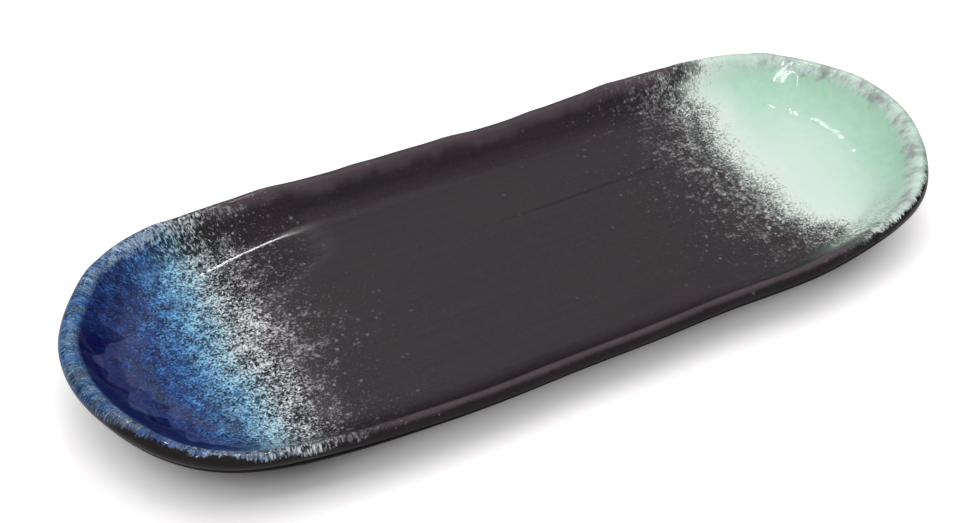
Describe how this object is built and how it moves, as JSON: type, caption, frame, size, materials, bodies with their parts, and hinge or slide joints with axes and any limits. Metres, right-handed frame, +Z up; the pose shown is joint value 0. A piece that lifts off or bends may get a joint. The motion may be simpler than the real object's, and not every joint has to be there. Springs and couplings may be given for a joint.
{
  "type": "sushi plate",
  "caption": "Long oval sushi plate of glazed stoneware with rounded raised ends, a rolled lip and an oblong foot ring; black glaze with blue and mint sprayed ends.",
  "frame": {"origin": "on the table under the middle of the plate's overall outline", "axes": "+X along the plate towards its mint end, +Y across it, +Z up; the blue end points to -X"},
  "size_m": [0.3324, 0.1338, 0.0306],
  "materials": {
    "bare_stoneware": "bare fired stoneware, fine grain",
    "satin_black_glaze": "satin warm black glaze with sprayed pale droplets",
    "gloss_black_glaze": "glossy brown-black glaze",
    "cobalt_blue_glaze": "glossy cobalt blue glaze, speckled towards its edge",
    "mint_glaze": "glossy pale mint glaze, speckled towards its edge"
  },
  "bodies": {
    "root": {"stoneware_body": "bare_stoneware", "foot_ring": "bare_stoneware", "black_glaze_top": "satin_black_glaze", "black_glaze_outside": "gloss_black_glaze", "black_glaze_underside": "gloss_black_glaze", "blue_glaze_end": "cobalt_blue_glaze", "mint_glaze_end": "mint_glaze"}
  },
  "joints": []
}
